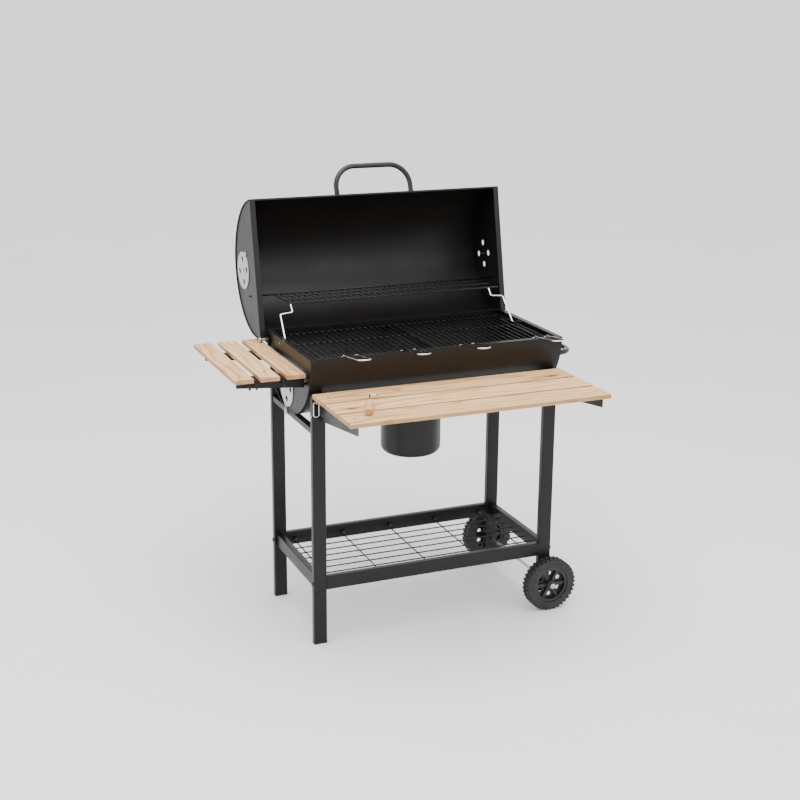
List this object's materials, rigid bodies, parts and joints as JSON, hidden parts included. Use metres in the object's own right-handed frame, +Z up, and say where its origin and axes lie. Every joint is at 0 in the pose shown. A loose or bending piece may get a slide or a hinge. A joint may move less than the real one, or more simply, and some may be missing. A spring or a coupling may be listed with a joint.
{
  "type": "charcoal barrel grill on a trolley",
  "caption": "Charcoal barrel grill with its lid open, on a two-wheeled trolley with wooden front and side shelves, a wire lower shelf and a hanging ash pot.",
  "frame": {"origin": "centre of the footprint of the whole object, on the floor", "axes": "+X to the object's right along the barrel, seen from the side where it is used, +Y to the back, +Z up"},
  "size_m": [1.0954, 0.9639, 1.3393],
  "materials": {
    "black_paint": "satin",
    "black_grate": "matt",
    "pine": "sanded, unvarnished",
    "grip_wood": "lacquered",
    "zinc": "zinc plated",
    "chrome": "polished",
    "tyre": "moulded",
    "hub_plastic": "moulded",
    "cap_plastic": "moulded"
  },
  "bodies": {
    "root": {"front_left_upper_leg": "black_paint", "front_right_upper_leg": "black_paint", "back_left_upper_leg": "black_paint", "back_right_upper_leg": "black_paint", "front_left_lower_leg": "black_paint", "front_right_lower_leg": "black_paint", "back_left_lower_leg": "black_paint", "back_right_lower_leg": "black_paint", "tube_end_caps": "cap_plastic", "front_shelf_rail": "black_paint", "back_shelf_rail": "black_paint", "left_shelf_rail": "black_paint", "right_shelf_rail": "black_paint", "wire_shelf": "black_grate", "left_top_rail": "black_paint", "right_top_rail": "black_paint", "frame_screws": "zinc", "wheel_axle": "zinc", "axle_nuts": "zinc", "bowl_shell": "black_paint", "bowl_left_end": "black_paint", "bowl_right_end": "black_paint", "bowl_hinge_brackets": "black_paint", "hinge_bolts": "zinc", "bowl_fasteners": "zinc", "bowl_side_handle": "black_paint", "grate_ledges": "black_paint", "charcoal_grate": "black_grate", "ash_pot_collar": "black_paint", "front_shelf_slats": "pine", "front_shelf_left_bracket": "black_paint", "front_shelf_right_bracket": "black_paint", "side_shelf_slats": "pine", "side_shelf_front_bracket": "black_paint", "side_shelf_rear_bracket": "black_paint", "shelf_screws": "zinc", "tool_hooks": "black_paint"},
    "lid": {"lid_shell": "black_paint", "lid_left_end": "black_paint", "lid_right_end": "black_paint", "lid_vent_rivets": "zinc", "lid_handle": "black_paint"},
    "bowl_left_vent_disc": {"bowl_left_vent": "zinc"},
    "bowl_right_vent_disc": {"bowl_right_vent": "zinc"},
    "lid_left_vent_disc": {"lid_left_vent": "zinc"},
    "lid_right_vent_disc": {"lid_right_vent": "zinc"},
    "rack": {"warming_rack": "black_grate"},
    "support": {"rack_support": "chrome"},
    "left_grate": {"left_cooking_grate": "black_grate"},
    "right_grate": {"right_cooking_grate": "black_grate"},
    "left_handles": {"left_grate_handles": "chrome"},
    "right_handles": {"right_grate_handles": "chrome"},
    "pot": {"ash_pot": "black_paint"},
    "ring": {"tool_ring": "chrome"},
    "lifter": {"lifter_grip": "grip_wood", "lifter_hook": "chrome"},
    "front_wheel": {"front_tyre": "tyre", "front_hub": "hub_plastic"},
    "back_wheel": {"back_tyre": "tyre", "back_hub": "hub_plastic"}
  },
  "joints": [
    {"name": "lid_hinge", "type": "hinge", "parent": "root", "child": "lid", "pos_m": [0.06075, 0.23505, 0.838], "axis": [1, 0, 0], "range_deg": [0, 101.5]},
    {"name": "rack_hinge", "type": "hinge", "parent": "lid", "child": "rack", "pos_m": [0.06075, 0.33335, 0.9521], "axis": [1, 0, 0], "range_deg": [-99.1, 0]},
    {"name": "support_hinge", "type": "hinge", "parent": "root", "child": "support", "pos_m": [0.06075, 0.10405, 0.856], "axis": [1, 0, 0], "range_deg": [0, 110.1]},
    {"name": "left_grate_lift", "type": "slide", "parent": "root", "child": "left_grate", "axis": [0, 0, -1], "range_m": [-0.05, 0]},
    {"name": "right_grate_lift", "type": "slide", "parent": "root", "child": "right_grate", "axis": [0, 0, -1], "range_m": [-0.05, 0]},
    {"name": "left_handles_fold", "type": "hinge", "parent": "left_grate", "child": "left_handles", "pos_m": [-0.12225, -0.15595, 0.8664], "axis": [1, 0, 0], "range_deg": [-163.1, 0]},
    {"name": "right_handles_fold", "type": "hinge", "parent": "right_grate", "child": "right_handles", "pos_m": [0.24375, -0.15595, 0.8664], "axis": [1, 0, 0], "range_deg": [-163.1, 0]},
    {"name": "bowl_left_vent_turn", "type": "hinge", "parent": "root", "child": "bowl_left_vent_disc", "pos_m": [-0.33165, 0.05205, 0.735], "axis": [-1, 0, 0], "range_deg": [0, 40]},
    {"name": "bowl_right_vent_turn", "type": "hinge", "parent": "root", "child": "bowl_right_vent_disc", "pos_m": [0.45315, 0.05205, 0.735], "axis": [-1, 0, 0], "range_deg": [0, 40]},
    {"name": "lid_left_vent_turn", "type": "hinge", "parent": "lid", "child": "lid_left_vent_disc", "pos_m": [-0.35365, 0.39882, 1.02102], "axis": [-1, 0, 0], "range_deg": [0, 40]},
    {"name": "lid_right_vent_turn", "type": "hinge", "parent": "lid", "child": "lid_right_vent_disc", "pos_m": [0.47515, 0.39882, 1.02102], "axis": [-1, 0, 0], "range_deg": [0, 40]},
    {"name": "ash_pot_twist", "type": "hinge", "parent": "root", "child": "pot", "pos_m": [0.05675, 0.02705, 0.64], "axis": [0, 0, 1], "range_deg": [0, 30]},
    {"name": "ring_swing", "type": "hinge", "parent": "root", "child": "ring", "pos_m": [-0.31975, -0.17635, 0.7482], "axis": [-1, 0, 0], "range_deg": [0, 90]},
    {"name": "lifter_lift", "type": "slide", "parent": "root", "child": "lifter", "axis": [0, 0, 1], "range_m": [0, 0.08]},
    {"name": "front_wheel_spin", "type": "hinge", "parent": "root", "child": "front_wheel", "pos_m": [0.43675, -0.19495, 0.084], "axis": [0, 1, 0], "continuous": true},
    {"name": "back_wheel_spin", "type": "hinge", "parent": "root", "child": "back_wheel", "pos_m": [0.43675, 0.24905, 0.084], "axis": [0, 1, 0], "continuous": true}
  ],
  "couplings": [
    {"joint": "rack_hinge", "follows": "lid_hinge", "ratio": -0.9756},
    {"joint": "support_hinge", "follows": "lid_hinge", "ratio": 1.0845},
    {"joint": "left_handles_fold", "follows": "lid_hinge", "ratio": -1.606},
    {"joint": "right_handles_fold", "follows": "lid_hinge", "ratio": -1.606}
  ]
}
